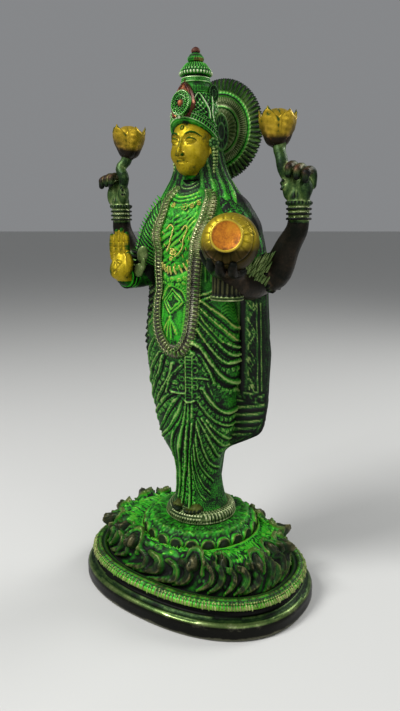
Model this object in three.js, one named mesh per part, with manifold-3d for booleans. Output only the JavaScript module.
// A standing four-armed deity in cast brass, with its oval plinth of waves, in millimetres, +Z up.
// The figure faces -Y and its own left side is +X.
// The origin is the middle of the plinth's underside.
import * as THREE from "three";
import { mergeVertices } from "three/addons/utils/BufferGeometryUtils.js";
import Module from "manifold-3d";

const wasm = await Module();
wasm.setup();

// Plinth: a full oval, so each size along X has its partner along Y
const PLINTH_HALF_LENGTH = 90;
const PLINTH_HALF_DEPTH = 67;
const OVAL_POWER = 2 / 2.3;
const SKIRT_HEIGHT = 12;
const ROPE_HEIGHT = 23.5;
const ROPE_INSET = 4;
const TOOTH_COUNT = 28;
const TOOTH_DEPTH = 1.6;
const MOAT_HEIGHT = 20;
const MOUND_INSET = 17;
const FLOOR_HEIGHT = 38;
const WAVE_COUNT = 12;
const CREST_HEIGHT = 43;
const CREST_RISE = 2.5;
const WAVE_HEIGHT = 49;
const PEDESTAL_Y = 5;
const PEDESTAL_RADIUS = 41;
const PEDESTAL_WAIST = 35.5;
const PEDESTAL_TOP = 53;
const PETAL_COUNT = 16;
const RESTING_GAP = 0.3;

// Figure: heights are above the plinth's underside, and its frame is moved along Y to the plinth's
const TOTAL_HEIGHT = 380;
const FIGURE_SHIFT_Y = -3;
const FIGURE_Y = 6;
const FOOT_DISC_Y = 9;
const FOOT_DISC_RADIUS = 25;
const HEM_HEIGHT = 61;
const NECK_HEIGHT = 291;
const HEAD_HEIGHT = 317;
const HEAD_Y = -0.5;
const HEAD_HALF_WIDTH = 15;
const HEAD_HALF_DEPTH = 15.5;
const CROWN_BASE_HEIGHT = 329;
const BROW_SLOPE = 0.45;
const HALO_HEIGHT = 331.4;
const HALO_RADIUS = 34.2;
const HALO_Y = 32;
const HALO_THICKNESS = 3;
const RAY_COUNT = 32;
const ELBOW = [50, 9, 233];
const FIST = [74.5, 6, 288];
const BUD_BASE = [62.5, 4.5, 314];
const BUD_HEIGHT = 22;
const BUD_RADIUS = 11;
const OPEN_WRIST = [-52, -15, 227];
const POT_CENTRE = [49, -30, 256.5];
const POT_RADIUS = 17.5;
const POT_TURN = THREE.MathUtils.degToRad(25);
const POT_RISE = THREE.MathUtils.degToRad(15);
const GARLAND_WIDTH = 4;
const SWAG_PITCH = 15;
const SWAG_DROP = 16;
const SWAG_DEPTH = 1.6;
const SECTION_POWER = 2 / 2.4;
const FRONT = -Math.PI / 2;
const UP = new THREE.Vector3(0, 0, 1);
const ACROSS = new THREE.Vector3(1, 0, 0);
const FORWARD = new THREE.Vector3(0, -1, 0);

// Dress: height, half-width, half-depth and middle in Y of the body under the shawl
const BODY_SIZES = sizesBy([
  [57, 18.5, 17.5, 9],
  [72, 17.6, 17, 8],
  [91, 17, 16.5, 6],
  [101, 19.5, 18.5, 5],
  [112, 26, 22, 4],
  [123, 29.5, 23.5, 4],
  [147, 33, 25.5, 3],
  [180, 34, 26, 3],
  [197, 33.5, 25, 3],
  [224, 27.5, 21, 4],
  [252, 30, 22.5, 4],
  [270, 31, 21, 4],
  [284, 26, 16, 5],
  [294, 11, 11, 7],
]);

// Shawl: height, reach to the figure's right and left, half-thickness and middle in Y
const SHAWL_SIZES = sizesBy([
  [62, 17, 15, 8, 12],
  [80, 21, 15, 9, 12],
  [100, 30, 17, 10, 12.5],
  [108, 36, 24, 10.5, 13],
  [115, 41, 37, 10.5, 13],
  [122, 44.5, 49, 11, 13],
  [132, 47.5, 52.5, 11, 13],
  [147, 50.5, 53.5, 11.5, 13],
  [180, 55, 54, 12, 13],
  [214, 51, 51, 12, 13],
  [245, 50, 50, 12, 12],
  [268, 46, 46, 12, 9],
  [286, 34, 34, 12, 8],
  [295, 12, 12, 10, 9],
]);

// Sizes at any height, on a smooth curve through the given rows.
function sizesBy(rows) {
  const heights = rows.map((row) => row[0]);
  const sizes = rows.flatMap((row) => row.slice(1));
  const curve = new THREE.CubicInterpolant(heights, sizes, rows[0].length - 1);
  const [lowest, highest] = [heights[0], heights.at(-1)];
  return (height) => [...curve.evaluate(THREE.MathUtils.clamp(height, lowest, highest))];
}

// A closed geometry as a solid that can be joined and cut.
function solid(geometry) {
  const bare = geometry.clone();
  bare.deleteAttribute("normal");
  bare.deleteAttribute("uv");
  const merged = mergeVertices(bare, 1e-3);
  const corners = merged.index.array;
  const kept = [];
  for (let i = 0; i < corners.length; i += 3) {
    const [a, b, c] = corners.subarray(i, i + 3);
    if (a !== b && b !== c && c !== a) {
      kept.push(a, b, c);
    }
  }
  return new wasm.Manifold(
    new wasm.Mesh({
      numProp: 3,
      vertProperties: merged.attributes.position.array,
      triVerts: new Uint32Array(kept),
    }),
  );
}

// Many closed geometries joined to one solid.
function joined(geometries) {
  return geometries.map(solid).reduce((whole, piece) => whole.add(piece));
}

// A named mesh of a solid.
function piece(name, made, material) {
  const { vertProperties, triVerts } = made.getMesh();
  const geometry = new THREE.BufferGeometry();
  geometry.setAttribute("position", new THREE.BufferAttribute(vertProperties, 3));
  geometry.setIndex(new THREE.BufferAttribute(triVerts, 1));
  geometry.computeVertexNormals();
  const mesh = new THREE.Mesh(geometry, material);
  mesh.name = name;
  return mesh;
}

// A closed upright form: pointAt(share of the height, angle, share of the radius) places its skin.
function column(rows, sides, pointAt) {
  const geometry = new THREE.CylinderGeometry(1, 1, 1, sides, rows);
  const skin = geometry.attributes.position;
  for (let i = 0; i < skin.count; i += 1) {
    const [x, y, z] = [skin.getX(i), skin.getY(i), skin.getZ(i)];
    skin.setXYZ(i, ...pointAt(y + 0.5, Math.atan2(-z, x), Math.hypot(x, z)));
  }
  return geometry;
}

// A closed limb along a smooth route. radiusAt gives its half-width by the share of its length,
// and flat is its thickness against its width, turned towards facing.
function limb(route, radiusAt, { steps = 8, sides = 8, flat = 1, facing = UP } = {}) {
  const curve = new THREE.CatmullRomCurve3(route.map((p) => new THREE.Vector3(...p)));
  const geometry = new THREE.CylinderGeometry(1, 1, 1, sides, steps);
  const skin = geometry.attributes.position;
  for (let i = 0; i < skin.count; i += 1) {
    const along = THREE.MathUtils.clamp(skin.getY(i) + 0.5, 0, 1);
    const radius = radiusAt(along);
    const tangent = curve.getTangentAt(along);
    const side = tangent.clone().cross(facing).normalize();
    const thick = side.clone().cross(tangent);
    const at = curve.getPointAt(along);
    at.addScaledVector(side, skin.getX(i) * radius);
    at.addScaledVector(thick, skin.getZ(i) * radius * flat);
    skin.setXYZ(i, at.x, at.y, at.z);
  }
  return geometry;
}

// An egg-shaped form with its half-sizes along X, Y and Z.
function egg(centre, halfSizes, sides = 10) {
  const geometry = new THREE.SphereGeometry(1, sides, Math.round(sides * 0.7));
  return geometry.rotateX(Math.PI / 2).scale(...halfSizes).translate(...centre);
}

// A turned form about the upright through x and y, from radius and height pairs.
function turned(profile, x, y, sides = 24) {
  const points = profile.map(([radius, height]) => new THREE.Vector2(radius, height));
  return new THREE.LatheGeometry(points, sides).rotateX(Math.PI / 2).translate(x, y, 0);
}

// A width that runs straight from one size to another.
function taper(from, to) {
  return (along) => THREE.MathUtils.lerp(from, to, along);
}

// A width that keeps its size and rounds off at both ends.
function roundEnds(radius) {
  return (along) => radius * (1 - Math.abs(2 * along - 1) ** 6 * 0.6);
}

// A sine or cosine raised to a power that fills out an oval, with its sign kept.
function rounded(ratio, power) {
  return Math.sign(ratio) * Math.abs(ratio) ** power;
}

// A point on an oval at a distance inside the plinth's edge.
function ovalPoint(inset, angle, height) {
  return [
    (PLINTH_HALF_LENGTH - inset) * rounded(Math.cos(angle), OVAL_POWER),
    (PLINTH_HALF_DEPTH - inset) * rounded(Math.sin(angle), OVAL_POWER),
    height,
  ];
}

// The moulded oval base: skirt, rim ledge, toothed rope border, moat and the ring of waves round a
// sunk floor. Each row is an inset from the edge, a height, and its shares of a tooth and a crest.
function plinthBase() {
  const rows = [
    [1, 0, 0, 0],
    [0, 3, 0, 0],
    [0, SKIRT_HEIGHT - 3, 0, 0],
    [2.5, SKIRT_HEIGHT, 0, 0],
    [ROPE_INSET + 2, SKIRT_HEIGHT + 2, 0, 0],
    [ROPE_INSET, ROPE_HEIGHT - 4, 1, 0],
    [ROPE_INSET + 2.5, ROPE_HEIGHT, 1, 0],
    [ROPE_INSET + 8, MOAT_HEIGHT, 0, 0],
    [MOUND_INSET, MOAT_HEIGHT, 0, 0.3],
    [MOUND_INSET + 1, CREST_HEIGHT - 3, 0, 1],
    [MOUND_INSET + 5, CREST_HEIGHT, 0, 1],
    [MOUND_INSET + 11, FLOOR_HEIGHT, 0, 0],
  ];
  return column(rows.length - 1, TOOTH_COUNT * 2, (share, angle, reach) => {
    const [inset, height, toothed, crested] = rows[Math.round(share * (rows.length - 1))];
    const tooth = toothed * TOOTH_DEPTH * 0.5 * Math.cos(angle * TOOTH_COUNT);
    const crest = crested * CREST_RISE * Math.cos(angle * WAVE_COUNT);
    const [x, y] = ovalPoint(inset - tooth - crest * 0.4, angle, height);
    return [x * reach, y * reach, height + crest * (height > FLOOR_HEIGHT ? 1 : 0)];
  });
}

// One wave: a blade that sweeps up and along the ring, rolls over outwards, and holds a knob.
function wave(index) {
  const turn = (2 * Math.PI) / WAVE_COUNT;
  const at = (inset, share, height) => ovalPoint(MOUND_INSET + inset, (index + share) * turn, height);
  const outward = new THREE.Vector3(...at(0, 0, 0)).normalize();
  const blade = limb(
    [
      at(-2, -0.75, MOAT_HEIGHT),
      at(-0.5, -0.35, MOAT_HEIGHT + 8),
      at(3, 0, WAVE_HEIGHT - 8),
      at(1, 0.22, WAVE_HEIGHT - 3.5),
      at(-3.5, 0.28, WAVE_HEIGHT - 9),
    ],
    (along) => 2 + 5 * Math.sin(Math.PI * Math.min(1, along * 1.05)),
    { steps: 6, sides: 5, flat: 0.7, facing: outward },
  );
  return [blade, egg(at(-1.5, 0.1, WAVE_HEIGHT - 15), [4.5, 4.5, 4.5], 6)];
}

// The round lotus pedestal, a ring of bulging petals under a flat top.
function pedestal() {
  const rows = [
    [PEDESTAL_RADIUS, FLOOR_HEIGHT - 4],
    [PEDESTAL_RADIUS, FLOOR_HEIGHT + 3],
    [PEDESTAL_RADIUS - 1, PEDESTAL_TOP - 6],
    [PEDESTAL_WAIST, PEDESTAL_TOP],
  ];
  return column(rows.length - 1, PETAL_COUNT * 2, (share, angle, reach) => {
    const [radius, height] = rows[Math.round(share * (rows.length - 1))];
    const petal = 0.97 + 0.03 * Math.cos(angle * PETAL_COUNT);
    const grown = radius * petal * reach;
    return [grown * Math.cos(angle), PEDESTAL_Y + grown * Math.sin(angle), height];
  });
}

// A point on the dressed body, with the swags of the skirt that fall from the middle to both sides.
function bodyPoint(height, angle, reach) {
  const [halfWidth, halfDepth, middle] = BODY_SIZES(height);
  const fromFront = 1 - Math.cos(angle - FRONT);
  const phase = ((height + SWAG_DROP * fromFront) / SWAG_PITCH) * 2 * Math.PI;
  const shown = THREE.MathUtils.smoothstep(height, 66, 82) * (1 - THREE.MathUtils.smoothstep(height, 200, 216));
  const fold = 1 + (reach * shown * SWAG_DEPTH * Math.cos(phase)) / halfWidth;
  return [
    reach * fold * halfWidth * rounded(Math.cos(angle), SECTION_POWER),
    middle + reach * fold * halfDepth * rounded(Math.sin(angle), SECTION_POWER),
    height,
  ];
}

function body() {
  return column(28, 20, (share, angle, reach) =>
    bodyPoint(THREE.MathUtils.lerp(HEM_HEIGHT - 3, NECK_HEIGHT, share), angle, reach),
  );
}

// The shawl behind the body, with upright folds down its back and a stepped edge on one side.
function shawl() {
  const [lowest, highest] = [64, 294];
  const foldCount = 7;
  const foldDepth = 0.1;
  const backShare = 1.55;
  const frontShare = 0.7;
  const stepPitch = 18;
  return column(16, 14, (share, angle, reach) => {
    const height = THREE.MathUtils.lerp(lowest, highest, share);
    const [right, left, thick, middle] = SHAWL_SIZES(height);
    const [cos, sin] = [Math.cos(angle), Math.sin(angle)];
    const step = 1.4 * Math.sin((height / stepPitch) * 2 * Math.PI);
    const width = cos < 0 ? right + step : left;
    const fold = sin > 0 ? backShare + foldDepth * Math.cos(foldCount * angle) : frontShare;
    return [reach * width * cos, middle + reach * thick * fold * sin, height];
  });
}

// The bead garland that hangs from the neck to the thighs in a long loop.
function garland() {
  const halfWidths = [
    [NECK_HEIGHT - 2, 14.5],
    [257, 20],
    [217, 18.5],
    [196, 16],
    [183, 9.5],
    [177, 0],
  ];
  const [firstHeight, firstWidth] = halfWidths[0];
  const onBody = (x, height) => {
    const [halfWidth, halfDepth, middle] = BODY_SIZES(height);
    const power = 1 / SECTION_POWER;
    const share = Math.min(1, Math.abs(x) / halfWidth) ** (2 * power);
    return [x, middle - halfDepth * (1 - share) ** (1 / (2 * power)) - 0.6, height];
  };
  const down = halfWidths.map(([height, x]) => onBody(-x, height));
  const up = halfWidths.slice(0, -1).reverse().map(([height, x]) => onBody(x, height));
  const ends = [-1, 1].map((side) => [side * (firstWidth - 6), FIGURE_Y + 4, firstHeight + 1]);
  const beads = (along) => GARLAND_WIDTH * (1 + 0.1 * Math.cos(along * 2 * Math.PI * 12));
  return limb([ends[0], ...down, ...up, ends[1]], beads, {
    steps: 24,
    sides: 4,
    flat: 0.7,
    facing: FORWARD,
  });
}

// Foot disc with its rolled edge, and the tips of the two feet
function footDisc() {
  const radius = FOOT_DISC_RADIUS;
  const underside = PEDESTAL_TOP + RESTING_GAP;
  const disc = turned(
    [
      [0, underside],
      [radius - 1, underside],
      [radius, underside + 2],
      [radius, HEM_HEIGHT - 3],
      [radius - 2, HEM_HEIGHT],
      [0, HEM_HEIGHT],
    ],
    0,
    FOOT_DISC_Y,
    18,
  );
  const feet = [-7.5, 7.5].map((x) => egg([x, FOOT_DISC_Y - 16, HEM_HEIGHT + 2.5], [5.5, 8.5, 3.5], 6));
  return [disc, ...feet];
}

// A hand in its own frame: wrist at the origin, palm up the Z axis and facing -Y. bends are the
// turns at the three joints of each finger, and thumbSide is 1 where the thumb lies towards +X.
function hand(bends, thumbSide, length) {
  const pitch = 4.5;
  const bone = 4.7;
  const fingers = [-1.5, -0.5, 0.5, 1.5].map((step) => {
    const at = new THREE.Vector3(step * pitch, 0, length);
    const route = [[step * pitch * 0.9, 0.5, length - 5], at.toArray()];
    let bend = 0;
    for (const more of bends) {
      bend += more;
      at.add(new THREE.Vector3(0, -Math.sin(bend) * bone, Math.cos(bend) * bone));
      route.push(at.toArray());
    }
    return limb(route, roundEnds(2.7), { steps: 4, sides: 4, facing: ACROSS });
  });
  const thumb = limb(
    [
      [thumbSide * 5, -1, 4],
      [thumbSide * 9.5, -3, 9],
      [thumbSide * 8.5, -4.5, 16],
    ],
    roundEnds(3),
    { steps: 2, sides: 4, facing: FORWARD },
  );
  const palm = egg([0, 0, length / 2], [9.2, 5, length * 0.68], 6);
  return [palm, thumb, ...fingers];
}

// Geometries moved together: turned about X, then Y, then Z, and set down at a point.
function placed(geometries, at, [x, y, z]) {
  const turn = new THREE.Matrix4().makeRotationFromEuler(new THREE.Euler(x, y, z, "ZYX"));
  return geometries.map((geometry) => geometry.applyMatrix4(turn).translate(...at));
}

// A lotus bud, its petals parting in points round the top, on a stem that rises from the fist.
function lotus(side) {
  const petalCount = 6;
  const [x, y, z] = BUD_BASE;
  const rows = [
    [0.3, 0, 0],
    [0.85, 0.2, 0],
    [1, 0.55, 0.05],
    [0.9, 0.9, 0.07],
    [0.55, 0.66, 0],
  ];
  const bud = column(rows.length - 1, petalCount * 2, (share, angle, reach) => {
    const [radius, rise, point] = rows[Math.round(share * (rows.length - 1))];
    const petal = Math.cos(angle * petalCount);
    const grown = BUD_RADIUS * radius * (1 + 0.09 * petal) * reach;
    const height = z + BUD_HEIGHT * (rise + point * petal);
    return [side * x + grown * Math.cos(angle), y + grown * Math.sin(angle), height];
  });
  const stem = limb(
    [
      [side * (FIST[0] - 2), FIST[1] - 5, FIST[2] + 8],
      [side * (FIST[0] - 6), FIST[1] - 4, FIST[2] + 17],
      [side * x, y, z + 1],
    ],
    taper(4, 3),
    { steps: 2, sides: 6, facing: FORWARD },
  );
  return [bud, stem];
}

// A raised arm from the shoulder to the fist, with three bracelets at the wrist
function raisedArm(side) {
  const [elbowX, elbowY, elbowZ] = ELBOW;
  const [fistX, fistY, fistZ] = FIST;
  const sleeve = limb(
    [
      [side * 24, 8, 272],
      [side * 42, 9, 258],
      [side * elbowX, elbowY, elbowZ],
    ],
    taper(11.5, 11.5),
    { steps: 3, sides: 8, facing: FORWARD },
  );
  const ringCount = 3;
  const forearm = limb(
    [
      [side * (elbowX - 8), elbowY, elbowZ],
      [side * (elbowX + 10), elbowY, elbowZ + 5],
      [side * (fistX - 4.5), fistY + 2, fistZ - 31],
      [side * fistX, fistY, fistZ - 14],
      [side * fistX, fistY, fistZ - 4],
    ],
    (along) => {
      const ring = 0.8 * Math.sin((along - 0.8) * 5 * Math.PI * ringCount) ** 2;
      return 11.5 - 5.3 * THREE.MathUtils.smoothstep(along, 0.2, 0.85) + (along > 0.8 ? ring : 0);
    },
    { steps: 13, sides: 7, facing: FORWARD },
  );
  const closed = [0.4, 1.5, 1.5];
  const fist = placed(hand(closed, -side, 13.5), [side * fistX, fistY, fistZ - 4], [0, 0, side * 0.25]);
  return [sleeve, forearm, ...fist];
}

// The lower right arm, whose open hand faces forward
function openArm() {
  const [x, y, z] = OPEN_WRIST;
  const forearm = limb(
    [
      [-ELBOW[0] + 6, ELBOW[1] + 2, ELBOW[2] + 1],
      [x, y + 14, z + 1],
      [x, y + 2, z + 2],
      [x, y, z + 6],
    ],
    taper(10, 6),
    { steps: 4, sides: 7, facing: ACROSS },
  );
  const nearlyStraight = [0.1, 0.15, 0.15];
  return [forearm, ...placed(hand(nearlyStraight, 1, 20), [x, y, z], [0, 0, 0.3])];
}

// The lower left arm, whose hand holds the pot from below
function potArm() {
  const [x, y, z] = POT_CENTRE;
  const wrist = [x - 6, y + 12, z - 20];
  const forearm = limb(
    [[ELBOW[0] - 6, ELBOW[1] + 2, ELBOW[2] - 1], [x - 2, y + 28, z - 27], wrist],
    taper(11, 6.5),
    { steps: 4, sides: 7, facing: ACROSS },
  );
  const cupped = [0.4, 0.5, 0.5];
  const holding = placed(hand(cupped, -1, 15), wrist, [-Math.PI * 0.58, 0, Math.PI * 0.94]);
  holding.forEach((geometry) => geometry.translate(0, 0, 1));
  return [forearm, ...holding];
}

// The pot, lying in the hand with its mouth turned to the front and a shallow dished stopper
function pot() {
  const lobeCount = 9;
  const profile = [
    [0, -POT_RADIUS * 0.95],
    [POT_RADIUS * 0.55, -POT_RADIUS * 0.82],
    [POT_RADIUS * 0.97, -POT_RADIUS * 0.3],
    [POT_RADIUS, POT_RADIUS * 0.1],
    [POT_RADIUS * 0.86, POT_RADIUS * 0.5],
    [POT_RADIUS * 0.5, POT_RADIUS * 0.72],
    [POT_RADIUS * 0.46, POT_RADIUS * 0.8],
    [POT_RADIUS * 0.56, POT_RADIUS * 0.9],
    [POT_RADIUS * 0.52, POT_RADIUS * 0.96],
    [0, POT_RADIUS * 0.88],
  ];
  const lobed = turned(profile, 0, 0, lobeCount * 2);
  const skin = lobed.attributes.position;
  for (let i = 0; i < skin.count; i += 1) {
    const [x, y] = [skin.getX(i), skin.getY(i)];
    const reach = Math.hypot(x, y);
    const lobe = reach > POT_RADIUS * 0.7 ? 0.97 + 0.03 * Math.cos(lobeCount * Math.atan2(y, x)) : 1;
    skin.setXY(i, x * lobe, y * lobe);
  }
  return lobed.rotateX(Math.PI / 2 - POT_RISE).rotateZ(POT_TURN).translate(...POT_CENTRE);
}

// Neck, head, nose, ears with their hanging drops, and the hair down to the shoulders
function head() {
  const [x, y, z] = [0, HEAD_Y, HEAD_HEIGHT];
  const frontY = y - HEAD_HALF_DEPTH;
  const skull = column(9, 12, (share, angle, reach) => {
    const rise = -Math.cos(share * Math.PI);
    const ring = Math.sin(share * Math.PI) * reach;
    const jaw = 1 - 0.22 * THREE.MathUtils.smoothstep(-rise, 0.1, 1);
    return [
      x + HEAD_HALF_WIDTH * ring * jaw * Math.cos(angle),
      y + HEAD_HALF_DEPTH * ring * Math.sin(angle) - (1 - jaw) * 14 * Math.max(0, -Math.sin(angle)) * 0.2,
      z + 17 * rise,
    ];
  });
  const nose = limb(
    [
      [0, frontY + 1.5, z + 6],
      [0, frontY - 0.6, z + 1],
      [0, frontY - 0.4, z - 3],
    ],
    taper(1.2, 2.4),
    { steps: 2, sides: 5, facing: FORWARD },
  );
  const ears = [-1, 1].map((side) => egg([side * HEAD_HALF_WIDTH, y + 2, z - 5], [2.6, 3.6, 10], 6));
  const neck = limb(
    [
      [0, FIGURE_Y + 1, NECK_HEIGHT - 6],
      [0, FIGURE_Y, z - 8],
    ],
    taper(10, 8.5),
    { steps: 2, sides: 8, facing: FORWARD },
  );
  const hair = limb(
    [
      [0, FIGURE_Y + 4, z + 6],
      [0, FIGURE_Y + 7, z - 14],
      [0, FIGURE_Y + 5, NECK_HEIGHT - 10],
    ],
    taper(13, 38),
    { steps: 3, sides: 8, flat: 0.5, facing: FORWARD },
  );
  return [skull, nose, ...ears, neck, hair];
}

// The tall crown: brow band, fluted drum, front plate with its rosette, and a tiered umbrella
function crown() {
  const base = CROWN_BASE_HEIGHT;
  const axisY = 3;
  const cap = turned(
    [
      [0, base - 3],
      [16.4, base - 3],
      [17, base + 2],
      [15.6, base + 4],
      [12.6, base + 10],
      [9, base + 20],
      [9.4, base + 24],
      [9.8, base + 30],
      [8, base + 32],
      [11, base + 33.2],
      [10.3, base + 35],
      [5.6, base + 40.5],
      [4, base + 41.2],
      [5.3, base + 42.2],
      [4.2, base + 46],
      [2.4, base + 46.8],
      [3.3, base + 48],
      [2, TOTAL_HEIGHT - 1.2],
      [0, TOTAL_HEIGHT],
    ],
    0,
    axisY,
    12,
  );
  // The brow band stands higher over the forehead than over the ears
  const skin = cap.attributes.position;
  for (let i = 0; i < skin.count; i += 1) {
    const rise = 1 - THREE.MathUtils.smoothstep(skin.getZ(i), base - 3, base + 14);
    skin.setZ(i, skin.getZ(i) - (skin.getY(i) - axisY) * rise * BROW_SLOPE);
  }
  const outline = new THREE.Shape();
  outline.moveTo(-9, 0);
  outline.quadraticCurveTo(-8.5, 10, 0, 20);
  outline.quadraticCurveTo(8.5, 10, 9, 0);
  outline.closePath();
  const leaf = { depth: 5, bevelEnabled: false, curveSegments: 2 };
  const lean = 0.2;
  const plate = new THREE.ExtrudeGeometry(outline, leaf)
    .rotateX(Math.PI / 2 - lean)
    .translate(0, axisY - 11.5, base + 7);
  const rosette = egg([0, axisY - 15, base + 14.7], [8, 4, 8.7], 8);
  const sidePlates = [-1, 1].map((side) =>
    new THREE.ExtrudeGeometry(outline, leaf)
      .scale(0.8, 0.8, 1)
      .rotateX(Math.PI / 2 - lean)
      .rotateZ((side * Math.PI) / 2)
      .translate(side * 12.6, axisY, base + 6),
  );
  return [cap, plate, rosette, ...sidePlates];
}

// The halo, a disc with two raised rings and a comb of rays, tied to the head by a boss
function halo() {
  const outline = new THREE.Shape();
  const inner = HALO_RADIUS * 0.76;
  for (let i = 0; i < RAY_COUNT; i += 1) {
    const turn = (2 * Math.PI) / RAY_COUNT;
    const corners = [
      [inner, 0.1],
      [HALO_RADIUS, 0.14],
      [HALO_RADIUS, 0.62],
      [inner, 0.58],
    ];
    for (const [radius, share] of corners) {
      const angle = (i + share) * turn;
      const [x, y] = [radius * Math.cos(angle), radius * Math.sin(angle)];
      if (outline.curves.length === 0 && outline.currentPoint.lengthSq() === 0) {
        outline.moveTo(x, y);
      } else {
        outline.lineTo(x, y);
      }
    }
  }
  outline.closePath();
  const rays = new THREE.ExtrudeGeometry(outline, { depth: HALO_THICKNESS, bevelEnabled: false });
  const ring = new THREE.TorusGeometry(HALO_RADIUS * 0.7, 1.4, 4, 24);
  ring.translate(0, 0, HALO_THICKNESS - 0.2);
  const upright = [rays, ring].map((geometry) =>
    geometry.rotateX(Math.PI / 2).translate(0, HALO_Y + HALO_THICKNESS / 2, HALO_HEIGHT),
  );
  const boss = limb(
    [
      [0, 8, HEAD_HEIGHT + 8],
      [0, HALO_Y + 1, HALO_HEIGHT - 3],
    ],
    () => 9,
    { steps: 1, sides: 8 },
  );
  return [...upright, boss];
}

const brass = new THREE.MeshStandardMaterial({ color: 0x4a5a24, roughness: 0.5, metalness: 0.8 });
const patina = new THREE.MeshStandardMaterial({ color: 0x2c6a2a, roughness: 0.6, metalness: 0.6 });

const figure = joined([
  body(),
  shawl(),
  garland(),
  ...footDisc(),
  ...raisedArm(-1),
  ...raisedArm(1),
  ...lotus(-1),
  ...lotus(1),
  ...openArm(),
  ...potArm(),
  pot(),
  ...head(),
  ...crown(),
  ...halo(),
]);

const waves = Array.from({ length: WAVE_COUNT }, (_, i) => wave(i)).flat();
const plinth = joined([plinthBase(), ...waves, pedestal()]);

const figureMesh = piece("figure", figure, brass);
figureMesh.position.y = FIGURE_SHIFT_Y;

const statue = new THREE.Group();
statue.add(figureMesh);
statue.add(piece("plinth", plinth, patina));

export default statue;
